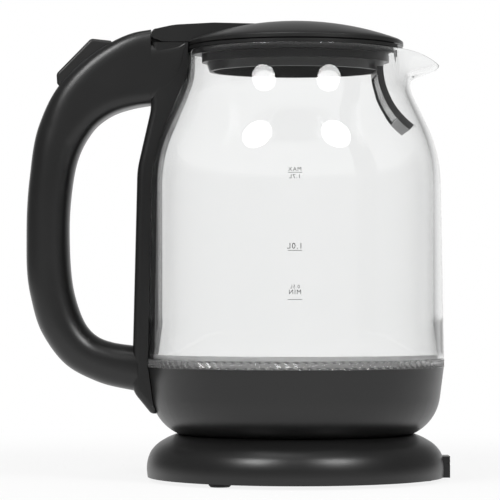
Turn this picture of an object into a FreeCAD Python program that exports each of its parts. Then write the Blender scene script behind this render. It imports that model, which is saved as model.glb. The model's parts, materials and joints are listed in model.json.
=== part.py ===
# Cordless glass kettle on its round power base.
# Millimetres, +Z up. The origin is on the table, on the axis of the base.
# +X points at the spout and -X at the handle.
import FreeCAD, Part
import math
import os

# Fits shared by many pieces
seat_gap = 0.1            # pieces of one body that sit against each other
moving_gap = 0.4          # pieces that turn or slide past each other
pin_fit = 0.05            # radial play of a pin in a moving part

# Main radii: what is round the jug follows the glass
glass_radius = 78.6
base_proud = 0.1          # base beyond the glass
base_radius = glass_radius + base_proud
housing_setback = 0.1     # housing inside the glass
housing_radius = glass_radius - housing_setback

# Power base: cover, plate and feet
foot_height = 2.2
foot_radius = 5.8
foot_inset = 11.7         # centre of a foot from the edge of the base
foot_circle = base_radius - foot_inset
foot_first_angle = 234.0
base_wall = 2.5
base_rim_z = 2.0
base_side_z = 13.5        # where the side would meet the sloping shoulder
base_side_round = 13.0
crest_inset = 15.1        # raised ring round the dish, inside the housing's radius
crest_radius = housing_radius - crest_inset
crest_z = 24.6
crest_round = 1.6
crest_width = 4.4
dish_radius = crest_radius - crest_width
dish_round = 6.0
dish_depth = 2.3
plate_thickness = 2.2
base_boss_circle = 44.0
base_boss_radius = 4.2

# Power base: cord outlet
outlet_proud = 2.7        # beyond the edge of the base
outlet_reach = base_radius + outlet_proud
outlet_width = 14.0
outlet_top_z = 12.9
outlet_foot_z = 1.6
outlet_inside = 8.0       # length behind the wall of the base
outlet_skirt_inside = 1.0 # the same for its lower skirt
cord_bore_radius = 3.2
outlet_rib_depth = 0.8
outlet_rib_pitch = 2.4

# Round connector between base and jug
post_radius = 15.4
post_height = 13.3        # above the dish
post_flange_radius = 22.0
post_flange_height = 12.0
groove_width = 2.6
outer_groove_radius = 12.8
inner_groove_radius = 8.2
pin_hole_radius = 3.2
contact_wall = 0.4        # brass lining of a groove
ring_wall = 1.0           # rings of the jug that enter the grooves
ring_radius_gap = 0.6     # play between a ring and the lining
contact_depth = 10.0      # how far pin and rings enter the post
socket_wall = 4.0
socket_play = 0.6
socket_roof = 4.0
socket_headroom = 0.9
socket_flange = 3.0

# Lower housing
jug_rest_gap = 0.3
housing_height = 37.4
housing_taper = 4.85      # how much smaller the side would be at the bottom
housing_round = 24.5
housing_wall = 2.6
hatch_inset = 32.5        # opening closed by the bottom cover, from the housing's radius
hatch_radius = housing_radius - hatch_inset
hatch_flange = 7.0
hatch_thickness = 2.4
ledge_reach = 16.5
ledge_inner_radius = housing_radius - ledge_reach
ledge_thickness = 2.6

# Clear ring, seal and heater
ring_height = 4.3
ring_overhang = 0.2       # clear ring proud of the housing rim
ring_width = 7.3
ring_inner_radius = housing_radius - ring_width
rib_count = 96
rib_depth = 0.5
plate_inset = 8.6
plate_radius = glass_radius - plate_inset
plate_sheet = 1.0
plate_rim_height = 6.0
seal_height = 2.4         # part of the seal that shows above the clear ring
spreader_inset = 16.0
spreader_radius = plate_radius - spreader_inset
spreader_thickness = 2.8
element_inset = 10.0
element_circle = spreader_radius - element_inset
element_radius = 3.2
element_sweep = 300.0
terminal_length = 9.0
terminal_radius = 1.92
control_radius = 24.0
control_ear_circle = 30.0
control_ear_radius = 4.5
control_ear_height = 7.0
disc_radius = 6.5
disc_sheet = 0.8
disc_spacing = 24.0
board_length = 12.0
board_width = 8.0
board_thickness = 1.2
led_radius = 1.6
led_height = 2.0
led_inset = 2.0           # centre of a diode from the outer edge of its board

# Glass jug
glass_wall = 3.0
glass_height = 162.7
shoulder_inset = 1.9
shoulder_radius = glass_radius - shoulder_inset
shoulder_drop = 57.1      # below the rim
shoulder_round = 75.0
neck_inset = 20.2
neck_radius = glass_radius - neck_inset
neck_drop = 12.8
neck_round = 20.0
mouth_inset = 0.6
mouth_radius = neck_radius - mouth_inset
spout_tip_out = 18.8      # beyond the mouth
spout_tip_reach = mouth_radius + spout_tip_out
spout_rise = 1.2          # root of the spout above the rim
spout_tip_drop = 7.9      # tip of the spout below the rim
spout_cut_run = 20.0      # slope of the cut that trims the spout's lip
spout_cut_drop = 12.0
spout_crown_out = 10.2
spout_crown_reach = mouth_radius + spout_crown_out
spout_crown_drop = 2.5
spout_sections = (        # beyond the mouth, half width, underside below the rim
    (-11.8, 25.0, 21.5),
    (0.2, 20.0, 17.3),
    (8.7, 14.5, 14.2),
    (15.2, 9.5, 11.9),
    (18.8, 6.0, 9.8),
)

# Collar in the neck
collar_wall = 2.0
collar_lip = 1.7
collar_flange_height = 3.0
collar_inset = 8.2        # skirt inside the mouth of the glass
collar_upper_radius = mouth_radius - collar_inset
collar_upper_height = 4.2
collar_step_width = 2.4
collar_lower_radius = collar_upper_radius - collar_step_width
collar_taper = 1.6
collar_foot_radius = collar_lower_radius - collar_taper
collar_lower_height = 4.6
collar_seal_height = 1.6
collar_seal_depth = 1.2
collar_window = 46.0      # gap in the flange that lets water reach the spout
tab_width = 20.0
tab_reach = 8.2           # rear tab beyond the mouth of the glass
tab_screw_spacing = 11.0

# Strainer behind the spout
strainer_width = 45.0
rail_width = 2.2
rail_depth = 3.2
strainer_top_inset = 2.4  # inside the foot of the collar
strainer_top_reach = collar_foot_radius - strainer_top_inset
strainer_top_drop = 10.2  # below the rim of the glass
strainer_mid_out = 5.0    # beyond its top
strainer_mid_drop = 29.0
strainer_foot_out = 16.4
strainer_foot_drop = 42.2
strainer_sheet = 0.5

# Lid
lid_gap = 0.3             # lid rim above the collar
lid_inset = 0.5           # inside the mouth of the glass
lid_radius = mouth_radius - lid_inset
lid_rim_height = 3.6
lid_edge = 1.7
lid_dome_radius = lid_radius - lid_edge
lid_dome_height = 10.0
lid_wall = 2.2
lid_rib = 0.4             # root of the tongue inside the dome
plug_play = 1.6           # between the plug and the foot of the collar
plug_radius = collar_foot_radius - plug_play
plug_depth = 7.6
plug_wall = 2.0
plug_flange = 1.3
lid_seal_width = 2.2
lid_seal_height = 2.6
lid_boss_inset = 10.0
lid_boss_circle = plug_radius - lid_boss_inset
lid_boss_radius = 3.4
tongue_width = 26.0
tongue_crest_run = 9.0    # top of the tongue: along from the hinge axis and above it
tongue_crest_rise = 4.8
tongue_run = 30.0
tongue_rise = 5.9
tongue_end_rise = 5.2     # where the tongue runs out in the dome
tongue_end_run = 60.0
tongue_round = 40.0
tongue_gap = 0.5

# Hinge of the lid
hinge_setback = 15.4      # behind the mouth of the glass
hinge_rise = 8.4          # above the rim of the glass
knuckle_radius = 2.8
hinge_pin_radius = 1.25
hinge_pin_length = 22.0   # its ends stay hidden in the knuckle
ear_width = 3.0
ear_slot_gap = 0.6        # behind the knuckle, in the lid's slots
ear_spacing = 13.4

# Rear column
column_gap = 0.4          # air between the column and the glass
column_round = 3.5
column_depth = 7.1        # outside the glass, where the lower arm lands
column_shoulder_depth = 4.9
column_shoulder_drop = 63.0
head_height = 28.2        # below the rim, where the handle is screwed on
head_rise = 3.8           # above the rim, under the hinge
arm_bottom = 12.7         # lower arm from the rim of the housing
arm_top = 11.0
column_foot_drop = 24.5   # foot of the column below the rim of the housing
column_foot_round = 3.0
column_arm_round = 10.0
column_bend_round = 60.0
column_shoulder_round = 45.0
column_head_round = 20.0

# Handle: stations are outward from the glass and up from the housing rim, or down from the glass rim
handle_width = 28.0
column_width = handle_width
handle_wall = 2.6
cover_depth = 8.5
cover_round = 7.5
shell_round = 7.5
handle_seam = 0.25
handle_head_rise = 11.1
upper_stations = (
    ((6.9, 9.6), (5.9, -29.6)),
    ((19.4, 5.4), (16.4, -32.8)),
    ((33.4, -6.0), (25.5, -38.6)),
    ((47.8, -18.4), (31.8, -46.6)),
    ((57.6, -39.7), (36.6, -57.2)),
    ((62.4, -67.2), (39.8, -73.2)),
)
grip_station = ((64.2, -98.2), (41.2, -97.2))
lower_stations = (
    ((61.7, 37.0), (38.4, 38.0)),
    ((55.2, 17.0), (32.9, 23.0)),
    ((42.4, 0.6), (26.4, 16.0)),
    ((26.1, -8.0), (18.9, 13.0)),
)

# Power rocker on the shoulder of the handle
rocker_upper = (19.2, 5.3)    # ends of its seat, in the same terms as the handle's upper stations
rocker_lower = (47.5, -17.4)
rocker_width = 17.0
rocker_height = 7.4
rocker_toe_height = 4.3
rocker_sink = 3.0
rocker_rounded_from = 0.6 # edges this far above the handle are rounded
rocker_round = 3.0
rocker_side_round = 1.6
rocker_play = 0.6
rocker_toe_play = 1.3     # the toe swings forward as it is pressed
pivot_depth = 6.5
pivot_boss_radius = 3.2
pivot_boss_width = 6.0
switch_pin_radius = 1.25
switch_ear_width = 3.0
switch_length = 18.0
switch_height = 9.5
switch_drop = 7.0             # top of the switch body below the pivot
switch_side_gap = 0.2
steam_disc_radius = 4.6

# Lead from the steam switch to the control
cable_radius = 1.8
cable_bend_share = 0.45   # of the shorter leg that a bend uses up
cable_hole_radius = 2.6

# Screws
screw_radius = 1.5
screw_head_radius = 2.9
screw_head_height = 1.6
screw_hole_radius = 1.6
screw_length = 9.0

# Levels and places that follow from the sizes above
V = FreeCAD.Vector
UP = V(0, 0, 1)
FAR_AWAY = 400.0          # beyond every piece
dish_z = crest_z - dish_depth
post_top = dish_z + post_height
plate_bottom = foot_height
plate_top = plate_bottom + plate_thickness
housing_bottom = dish_z + jug_rest_gap
housing_rim = housing_bottom + housing_height
ring_top = housing_rim + ring_height
glass_foot = ring_top + seat_gap
glass_rim = glass_foot + glass_height
hatch_top = housing_bottom + hatch_thickness
socket_inner = post_radius + socket_play
socket_outer = socket_inner + socket_wall
socket_bottom = housing_bottom + seat_gap
socket_ceiling = post_top + socket_headroom
socket_top = socket_ceiling + socket_roof
spreader_bottom = housing_rim - spreader_thickness
control_bottom = socket_top + moving_gap
control_top = spreader_bottom - disc_sheet - 2 * seat_gap
collar_top = glass_rim + seat_gap + collar_lip
collar_flange_bottom = glass_rim - collar_flange_height
collar_step = collar_flange_bottom - collar_upper_height
collar_bottom = collar_step - collar_lower_height
lid_bottom = collar_top + lid_gap
lid_rim_top = lid_bottom + lid_rim_height
hinge_x = -(mouth_radius + hinge_setback)
hinge_z = glass_rim + hinge_rise
handle_face = hinge_x - knuckle_radius - moving_gap
head_top = glass_rim + head_rise
head_bottom = glass_rim - head_height
arm_face = -(glass_radius + column_depth)
plug_bottom = lid_bottom - plug_depth


def turned(shape, degrees):
    """A copy of the shape turned about the kettle's axis."""
    copy = shape.copy()
    copy.rotate(V(0, 0, 0), UP, degrees)
    return copy


def around(shape, count, first=0.0):
    """Copies of the shape spaced evenly about the axis."""
    return [turned(shape, first + 360.0 * i / count) for i in range(count)]


def cut_all(shape, tools):
    """The shape with every tool taken away."""
    return shape.cut(list(tools)).removeSplitter()


def fuse_all(shapes):
    """One solid from touching shapes."""
    first, *others = shapes
    return first.fuse(others).removeSplitter()


def cylinder(radius, bottom, top, x=0.0, y=0.0):
    """Upright cylinder between two levels."""
    return Part.makeCylinder(radius, top - bottom, V(x, y, bottom))


def tube(outer, inner, bottom, top):
    """Upright tube about the axis."""
    return cylinder(outer, bottom, top).cut(cylinder(inner, bottom - 1, top + 1))


def cross_rod(radius, length, x, z):
    """Rod along Y, centred on the middle plane."""
    return Part.makeCylinder(radius, length, V(x, -length / 2, z), V(0, 1, 0))


def block(x_range, width, z_range, y=0.0):
    """Box between two X and two Z values, centred on y."""
    x0, x1 = x_range
    z0, z1 = z_range
    return Part.makeBox(x1 - x0, width, z1 - z0, V(x0, y - width / 2, z0))


def outline(corners, closed=True):
    """Edges in the XZ plane through corners (x, z, round), each corner rounded by its own radius."""
    points = [V(x, 0, z) for x, z, _ in corners]
    count = len(points)
    starts, ends, edges = [], [], []
    arcs = []
    for i, (x, z, radius) in enumerate(corners):
        here = points[i]
        if radius == 0 or (not closed and i in (0, count - 1)):
            starts.append(here)
            ends.append(here)
            arcs.append(None)
            continue
        back = (points[i - 1] - here).normalize()
        ahead = (points[(i + 1) % count] - here).normalize()
        half = back.getAngle(ahead) / 2
        reach = radius / math.tan(half)
        middle = (back + ahead).normalize() * (radius / math.sin(half) - radius)
        starts.append(here + back * reach)
        ends.append(here + ahead * reach)
        arcs.append(Part.Arc(starts[i], here + middle, ends[i]).toShape())
    for i in range(count):
        if arcs[i]:
            edges.append(arcs[i])
        following = (i + 1) % count
        if (closed or following) and ends[i].distanceToPoint(starts[following]) > 1e-6:
            edges.append(Part.LineSegment(ends[i], starts[following]).toShape())
    return edges


def offset_corners(corners, distance):
    """An open line of rounded corners moved to the left of its direction; a round that runs out turns sharp."""
    points = [V(x, 0, z) for x, z, _ in corners]
    steps = [(b - a).normalize() for a, b in zip(points, points[1:])]
    lefts = [V(-step.z, 0, step.x) for step in steps]
    moved = []
    for i, (x, z, radius) in enumerate(corners):
        before = lefts[max(i - 1, 0)]
        after = lefts[min(i, len(lefts) - 1)]
        shift = (before + after) * (distance / (1 + before.dot(after)))
        turns_left = steps[max(i - 1, 0)].dot(after) < 0
        grown = radius - distance if turns_left else radius + distance
        moved.append((x + shift.x, z + shift.z, max(grown, 0) if radius else 0))
    return moved


def revolved(corners):
    """Solid of revolution of a closed outline of (radius, z, round) corners."""
    return Part.Face(Part.Wire(outline(corners))).revolve(V(0, 0, 0), UP, 360)


def extruded(corners, width):
    """Closed XZ outline given a width in Y, centred on the middle plane."""
    face = Part.Face(Part.Wire(outline(corners)))
    face.translate(V(0, -width / 2, 0))
    return face.extrude(V(0, width, 0))


def screw(tip, direction, length=screw_length):
    """Pan-head screw whose head sits against the plane through tip, its shank along direction."""
    shank = Part.makeCylinder(screw_radius, length, tip, direction)
    head = Part.makeCylinder(screw_head_radius, screw_head_height, tip, direction * -1)
    return head.fuse(shank).removeSplitter()


def screw_hole(tip, direction, length=screw_length):
    """Room for that screw."""
    shank = Part.makeCylinder(screw_hole_radius, length + 1, tip, direction)
    head = Part.makeCylinder(screw_head_radius + moving_gap, FAR_AWAY / 10, tip, direction * -1)
    return head.fuse(shank)


# Power base

def base_side_corners():
    """Outside of the base, from the axis over the dish and shoulder to the lower rim."""
    return [
        (0, dish_z, 0),
        (dish_radius, dish_z, dish_round),
        (crest_radius, crest_z, crest_round),
        (base_radius, base_side_z, base_side_round),
        (base_radius, base_rim_z, 0),
    ]


def base_boss_places():
    """Centres of the three screw bosses, between the feet."""
    boss = V(base_boss_circle, 0, 0)
    turns = [FreeCAD.Rotation(UP, foot_first_angle + 60 + 120 * i) for i in range(3)]
    return [turn.multVec(boss) for turn in turns]


def outlet_block(play):
    """Outer form of the cord outlet, grown by play."""
    inner_x = base_radius - base_wall - outlet_inside
    body = block(
        (inner_x - play, outlet_reach + play),
        outlet_width + 2 * play,
        (plate_top + seat_gap - play, outlet_top_z + play),
    )
    skirt = block(
        (base_radius - base_wall - outlet_skirt_inside - play, outlet_reach + play),
        outlet_width + 2 * play,
        (outlet_foot_z - play, plate_top + 1),
    )
    return fuse_all([body, skirt])


def base_cover():
    outside = base_side_corners()
    inside = offset_corners(outside, -base_wall)
    inside[0] = (0, dish_z - base_wall, 0)
    shell = revolved(outside + [(base_radius - base_wall, base_rim_z, 0)] + inside[-2:0:-1] + [inside[0]])
    bosses = [
        cylinder(base_boss_radius, plate_top + seat_gap, dish_z - base_wall / 2, p.x, p.y)
        for p in base_boss_places()
    ]
    body = fuse_all([shell] + bosses)
    holes = [cylinder(screw_hole_radius, 0, plate_top + screw_length, p.x, p.y) for p in base_boss_places()]
    opening = cylinder(post_radius + seat_gap, 0, FAR_AWAY)
    return cut_all(body, holes + [opening, outlet_block(seat_gap)])


def base_bottom_plate():
    disc = cylinder(base_radius - base_wall - seat_gap, plate_bottom, plate_top)
    tips = [V(p.x, p.y, plate_bottom + screw_head_height) for p in base_boss_places()]
    notch_x = base_radius - base_wall - 2 * outlet_skirt_inside
    notch = block((notch_x, FAR_AWAY), outlet_width + 4 * seat_gap, (0, FAR_AWAY))
    return cut_all(disc, [screw_hole(tip, UP) for tip in tips] + [notch])


def base_screws():
    tips = [V(p.x, p.y, plate_bottom + screw_head_height) for p in base_boss_places()]
    return Part.makeCompound([screw(tip, UP, screw_length - 1) for tip in tips])


def base_feet():
    edge = foot_radius / 6
    foot = revolved([
        (0, 0, 0),
        (foot_radius - edge, 0, 0),
        (foot_radius, edge, 0),
        (foot_radius, plate_bottom, 0),
        (0, plate_bottom, 0),
    ])
    foot.translate(V(foot_circle, 0, 0))
    return Part.makeCompound(around(foot, 3, foot_first_angle))


def cord_outlet():
    body = outlet_block(0)
    bore_z = (plate_top + outlet_top_z) / 2
    bore = Part.makeCylinder(cord_bore_radius, FAR_AWAY, V(0, 0, bore_z), V(1, 0, 0))
    grooves = []
    for side in (-1, 1):
        for step in (0, 1):
            z = bore_z + step * outlet_rib_pitch
            grooves.append(block(
                (base_radius + outlet_rib_depth, FAR_AWAY),
                2 * outlet_rib_depth,
                (z, z + outlet_rib_pitch / 2),
                side * outlet_width / 2,
            ))
    return cut_all(body, [bore] + grooves)


def groove_radii():
    """Outer radius of each annular groove in the post."""
    return (outer_groove_radius, inner_groove_radius)


def base_connector():
    flange_top = dish_z - base_wall - seat_gap
    flange = cylinder(post_flange_radius, flange_top - post_flange_height, flange_top)
    post = cylinder(post_radius, flange_top - 1, post_top)
    floor = post_top - contact_depth - 2
    grooves = [tube(radius, radius - groove_width, floor, post_top + 1) for radius in groove_radii()]
    pin_hole = cylinder(pin_hole_radius, floor, post_top + 1)
    return cut_all(fuse_all([flange, post]), grooves + [pin_hole])


def base_contacts():
    floor = post_top - contact_depth - 2
    return Part.makeCompound([tube(r, r - contact_wall, floor, post_top - 1) for r in groove_radii()])


def jug_socket():
    body = cylinder(socket_outer, socket_bottom, socket_top)
    flange = cylinder(
        socket_outer + socket_flange, hatch_top + moving_gap, hatch_top + moving_gap + hatch_thickness)
    cavity = cylinder(socket_inner, 0, socket_ceiling)
    return cut_all(fuse_all([body, flange]), [cavity])


def socket_contacts():
    tip = post_top - contact_depth
    outers = [r - contact_wall - ring_radius_gap for r in groove_radii()]
    rings = [tube(r, r - ring_wall, tip, socket_ceiling) for r in outers]
    pin = cylinder(pin_hole_radius - ring_radius_gap, tip, socket_ceiling)
    return Part.makeCompound(rings + [pin])


# Housing and heater

def housing_form(inset):
    """Solid inside the outer face of the housing, moved in by inset."""
    corners = [
        (0, housing_bottom, 0),
        (housing_radius - housing_taper, housing_bottom, housing_round),
        (housing_radius, housing_rim, 0),
    ]
    moved = offset_corners(corners, inset)
    top_radius = moved[-1][0]
    moved[0] = (0, moved[0][1], 0)
    return revolved(moved[:-1] + [(top_radius, housing_rim, 0), (0, housing_rim, 0)])


def led_places():
    """Centre of the diode on each of the two boards."""
    reach = ring_inner_radius + led_radius + seat_gap
    return [V(0, side * reach, 0) for side in (-1, 1)]


def lower_housing():
    wall = housing_form(0).cut(housing_form(housing_wall))
    inner_wall = housing_form(housing_wall / 2)
    ledge = tube(FAR_AWAY, ledge_inner_radius, housing_rim - ledge_thickness, housing_rim).common(inner_wall)
    flange = tube(
        hatch_radius + housing_wall, hatch_radius - hatch_flange, hatch_top, hatch_top + housing_wall)
    hatch = cylinder(hatch_radius, 0, hatch_top)
    mouth = cylinder(hatch_radius - hatch_flange, 0, hatch_top + housing_wall)
    led_holes = [cylinder(led_radius + seat_gap, spreader_bottom - 5, FAR_AWAY, p.x, p.y) for p in led_places()]
    body = fuse_all([wall, ledge, flange])
    return cut_all(body, [hatch, mouth, cable_form(cable_hole_radius)] + led_holes + hatch_screw_holes())


def hatch_screw_tips():
    """Seats of the bottom cover's screw heads."""
    place = V(hatch_radius - hatch_flange / 2, 0, housing_bottom + screw_head_height)
    return [FreeCAD.Rotation(UP, 120.0 * i).multVec(place) for i in range(3)]


def hatch_screw_holes():
    """Room for the bottom cover's screws."""
    return [screw_hole(tip, UP, housing_wall + 1) for tip in hatch_screw_tips()]


def housing_bottom_cover():
    disc = tube(
        hatch_radius - seat_gap, socket_outer + moving_gap, housing_bottom + seat_gap, hatch_top)
    collar = tube(
        socket_outer + socket_flange + 2 * moving_gap + hatch_thickness,
        socket_outer + socket_flange + 2 * moving_gap,
        hatch_top - 1,
        hatch_top + 2 * hatch_thickness,
    )
    return cut_all(fuse_all([disc, collar]), hatch_screw_holes())


def housing_screws():
    return Part.makeCompound([screw(tip, UP, housing_wall) for tip in hatch_screw_tips()])


def light_ring():
    outer = housing_radius + ring_overhang
    body = tube(outer, ring_inner_radius, housing_rim, ring_top)
    rib = Part.makeCylinder(rib_depth, ring_height, V(outer + rib_depth / 3, 0, housing_rim), UP)
    return cut_all(body, around(rib, rib_count))


def led_boards():
    boards = []
    for place in led_places():
        side = math.copysign(1, place.y)
        edge = abs(place.y) + led_inset
        board = Part.makeBox(
            board_length,
            board_width,
            board_thickness,
            V(-board_length / 2, edge - board_width, housing_rim - ledge_thickness - seat_gap - board_thickness),
        )
        boards.append(board if side > 0 else turned(board, 180))
    return Part.makeCompound(boards)


def leds():
    bottom = housing_rim - ledge_thickness - seat_gap
    diodes = []
    for place in led_places():
        body = cylinder(led_radius, bottom, bottom + led_height - led_radius / 2, place.x, place.y)
        tip = Part.makeCone(
            led_radius, led_radius / 2, led_radius / 2, V(place.x, place.y, bottom + led_height - led_radius / 2))
        diodes.append(fuse_all([body, tip]))
    return Part.makeCompound(diodes)


def heater_plate():
    return cut_all(
        cylinder(plate_radius, housing_rim, housing_rim + plate_rim_height),
        [cylinder(plate_radius - plate_sheet, housing_rim + plate_sheet, FAR_AWAY)],
    )


def glass_seal():
    inside = plate_radius + seat_gap
    foot = tube(ring_inner_radius - seat_gap, inside, housing_rim, ring_top + seal_height)
    glass_inside = glass_radius - glass_wall - seat_gap
    lip = tube(glass_inside, inside, ring_top + seat_gap, ring_top + seal_height)
    return fuse_all([foot, lip])


def heat_spreader():
    return cylinder(spreader_radius, spreader_bottom, housing_rim)


def heater_element():
    z = spreader_bottom - element_radius - seat_gap
    start = V(element_circle, 0, z)
    profile = Part.Face(Part.Wire(Part.makeCircle(element_radius, start, V(0, 1, 0))))
    coil = profile.revolve(V(0, 0, 0), UP, element_sweep)
    terminals = []
    for angle in (0, element_sweep):
        pin = cylinder(terminal_radius, z - terminal_length, z, element_circle, 0)
        terminals.append(turned(pin, angle))
    body = fuse_all([coil] + terminals)
    body.rotate(V(0, 0, 0), UP, (360 - element_sweep) / 2)
    return body


def control_ear_places():
    """Centres of the control's three ears."""
    place = V(control_ear_circle, 0, 0)
    return [FreeCAD.Rotation(UP, 60 + 120.0 * i).multVec(place) for i in range(3)]


def thermal_control():
    body = cylinder(control_radius, control_bottom, control_top)
    ears = []
    for place in control_ear_places():
        foot = spreader_bottom - control_ear_height
        post = cylinder(control_ear_radius, foot, spreader_bottom, place.x, place.y)
        web = Part.makeBox(control_ear_circle, control_ear_radius, control_ear_height / 2)
        web.translate(V(0, -control_ear_radius / 2, foot))
        web.rotate(V(0, 0, 0), UP, math.degrees(math.atan2(place.y, place.x)))
        ears += [post, web]
    holes = [screw_hole(tip, UP, control_ear_height) for tip in control_screw_tips()]
    return cut_all(fuse_all([body] + ears), holes)


def control_screw_tips():
    """Seats of the control's screw heads."""
    foot = spreader_bottom - control_ear_height + screw_head_height
    return [V(p.x, p.y, foot) for p in control_ear_places()]


def control_screws():
    length = control_ear_height - screw_head_height - seat_gap
    return Part.makeCompound([screw(tip, UP, length) for tip in control_screw_tips()])


def bimetal_discs():
    bottom = control_top + seat_gap
    sides = (-disc_spacing / 2, disc_spacing / 2)
    return Part.makeCompound([cylinder(disc_radius, bottom, bottom + disc_sheet, x) for x in sides])


# Glass jug

def glass_form(inset, below=0.0, above=0.0):
    """Solid inside the outer face of the glass, moved in by inset and lengthened at its ends."""
    corners = [
        (glass_radius, glass_foot, 0),
        (shoulder_radius, glass_rim - shoulder_drop, shoulder_round),
        (neck_radius, glass_rim - neck_drop, neck_round),
        (mouth_radius, glass_rim, 0),
    ]
    moved = offset_corners(corners, inset)
    first, last = moved[0], moved[-1]
    low = (first[0], glass_foot - below, 0)
    high = (last[0], glass_rim + above, 0)
    return revolved([(0, low[1], 0), low] + moved[1:-1] + [high, (0, high[1], 0)])


def spout_form(inset):
    """Beak of the spout: half-round sections carried outward, moved in by inset."""
    top = glass_rim + 2 * spout_rise
    wires = []
    for i, (out, half_width, drop) in enumerate(spout_sections):
        radius = half_width - inset
        low = glass_rim - drop + inset
        x = mouth_radius + out - (inset if i == len(spout_sections) - 1 else 0)
        left, bottom, right = V(x, -radius, low + radius), V(x, 0, low), V(x, radius, low + radius)
        peak = max(top, low + radius + 1)
        wires.append(Part.Wire([
            Part.Arc(left, bottom, right).toShape(),
            Part.LineSegment(right, V(x, radius, peak)).toShape(),
            Part.LineSegment(V(x, radius, peak), V(x, -radius, peak)).toShape(),
            Part.LineSegment(V(x, -radius, peak), left).toShape(),
        ]))
    return Part.makeLoft(wires, True, False)


def above_rim():
    """Everything above the rim of the glass and the falling lip of the spout."""
    root = V(mouth_radius - glass_wall, 0, glass_rim + spout_rise)
    crown = V(spout_crown_reach, 0, glass_rim - spout_crown_drop)
    tip = V(spout_tip_reach, 0, glass_rim - spout_tip_drop)
    beyond = V(spout_tip_reach + spout_cut_run, 0, glass_rim - spout_tip_drop - spout_cut_drop)
    far = [V(beyond.x, 0, FAR_AWAY), V(-FAR_AWAY, 0, FAR_AWAY), V(-FAR_AWAY, 0, glass_rim)]
    corner = V(root.x, 0, glass_rim)
    line = [tip, beyond] + far + [corner, root]
    edges = [Part.Arc(root, crown, tip).toShape()]
    edges += [Part.LineSegment(a, b).toShape() for a, b in zip(line, line[1:])]
    face = Part.Face(Part.Wire(edges))
    face.translate(V(0, -FAR_AWAY / 2, 0))
    return face.extrude(V(0, FAR_AWAY, 0))


def glass_jug():
    outside = glass_form(0, above=2 * spout_rise).fuse(spout_form(0))
    inside = glass_form(glass_wall, below=1, above=FAR_AWAY / 10)
    return cut_all(outside, [inside, spout_form(glass_wall), above_rim()])


# Collar and strainer

def neck_inside():
    """Radius of the collar's flange inside the glass neck."""
    return mouth_radius - glass_wall - seat_gap


def neck_collar():
    lip = tube(mouth_radius, collar_upper_radius - collar_wall, glass_rim + seat_gap, collar_top)
    flange = tube(neck_inside(), collar_upper_radius - collar_wall, collar_flange_bottom, collar_top)
    skirt = revolved([
        (collar_upper_radius, collar_flange_bottom + 1, 0),
        (collar_upper_radius, collar_step, 0),
        (collar_lower_radius, collar_step, 0),
        (collar_foot_radius, collar_bottom, 0),
        (collar_foot_radius - collar_wall, collar_bottom, 0),
        (collar_lower_radius - collar_wall, collar_step + collar_wall, 0),
        (collar_upper_radius - collar_wall, collar_step + collar_wall, 0),
        (collar_upper_radius - collar_wall, collar_flange_bottom + 1, 0),
    ])
    tab = block(
        (-(mouth_radius + tab_reach), -(collar_upper_radius)), tab_width, (glass_rim + seat_gap, collar_top))
    window = block(
        (collar_upper_radius - collar_wall / 2, FAR_AWAY),
        collar_window,
        (collar_flange_bottom - 1, FAR_AWAY),
    )
    groove = tube(FAR_AWAY, neck_inside() - collar_seal_depth, seal_bottom(), seal_bottom() + collar_seal_height)
    holes = [screw_hole(tip, UP * -1) for tip in tab_screw_tips()]
    bore = cylinder(collar_foot_radius - collar_wall, 0, FAR_AWAY)
    body = fuse_all([lip, flange, skirt, tab.cut(bore)])
    return cut_all(body, [window, groove] + holes)


def seal_bottom():
    """Level of the gasket in the collar's edge."""
    return collar_flange_bottom + (collar_flange_height - collar_seal_height) / 2


def collar_seal():
    ring = tube(
        neck_inside(), neck_inside() - collar_seal_depth, seal_bottom(), seal_bottom() + collar_seal_height)
    window = block((collar_upper_radius - collar_wall / 2, FAR_AWAY), collar_window, (0, FAR_AWAY))
    return cut_all(ring, [window])


def tab_screw_tips():
    """Seats of the two screws that hold the collar's rear tab."""
    x = -(mouth_radius + tab_reach / 2)
    return [V(x, side * tab_screw_spacing / 2, collar_top) for side in (-1, 1)]


def collar_screws():
    return Part.makeCompound([screw(tip, UP * -1, screw_length - 1) for tip in tab_screw_tips()])


def strainer_panel(width, depth):
    """Curved strip that hangs from the collar and leans out towards the shoulder of the glass."""
    line = [
        V(strainer_top_reach, -width / 2, glass_rim - strainer_top_drop),
        V(strainer_top_reach + strainer_mid_out, -width / 2, glass_rim - strainer_mid_drop),
        V(strainer_top_reach + strainer_foot_out, -width / 2, glass_rim - strainer_foot_drop),
    ]
    circle = Part.Arc(*line).toShape().Curve
    spokes = [(point - circle.Center).normalize() for point in line]
    far = [circle.Center + spoke * (circle.Radius + depth / 2) for spoke in spokes]
    near = [circle.Center + spoke * (circle.Radius - depth / 2) for spoke in spokes]
    wire = Part.Wire([
        Part.Arc(*far).toShape(),
        Part.LineSegment(far[2], near[2]).toShape(),
        Part.Arc(*reversed(near)).toShape(),
        Part.LineSegment(near[0], far[0]).toShape(),
    ])
    return Part.Face(wire).extrude(V(0, width, 0))


def strainer_bar_z():
    """Top of the upper cross bar, under the collar."""
    return collar_bottom - seat_gap


def strainer_window():
    """Part of the strip that is open, between rails and cross bars."""
    foot_z = glass_rim - strainer_foot_drop + 2 * rail_width
    return block(
        (0, FAR_AWAY), strainer_width - 2 * rail_width, (foot_z, strainer_bar_z() - rail_width))


def above_bar():
    """Space over the cross bar that only the two rails enter."""
    return block((0, FAR_AWAY), strainer_width - 2 * rail_width, (strainer_bar_z(), FAR_AWAY))


def strainer_frame():
    return cut_all(strainer_panel(strainer_width, rail_depth), [strainer_window(), above_bar()])


def strainer_mesh():
    return strainer_panel(strainer_width, strainer_sheet).common(strainer_window())


# Lid and hinge

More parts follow.
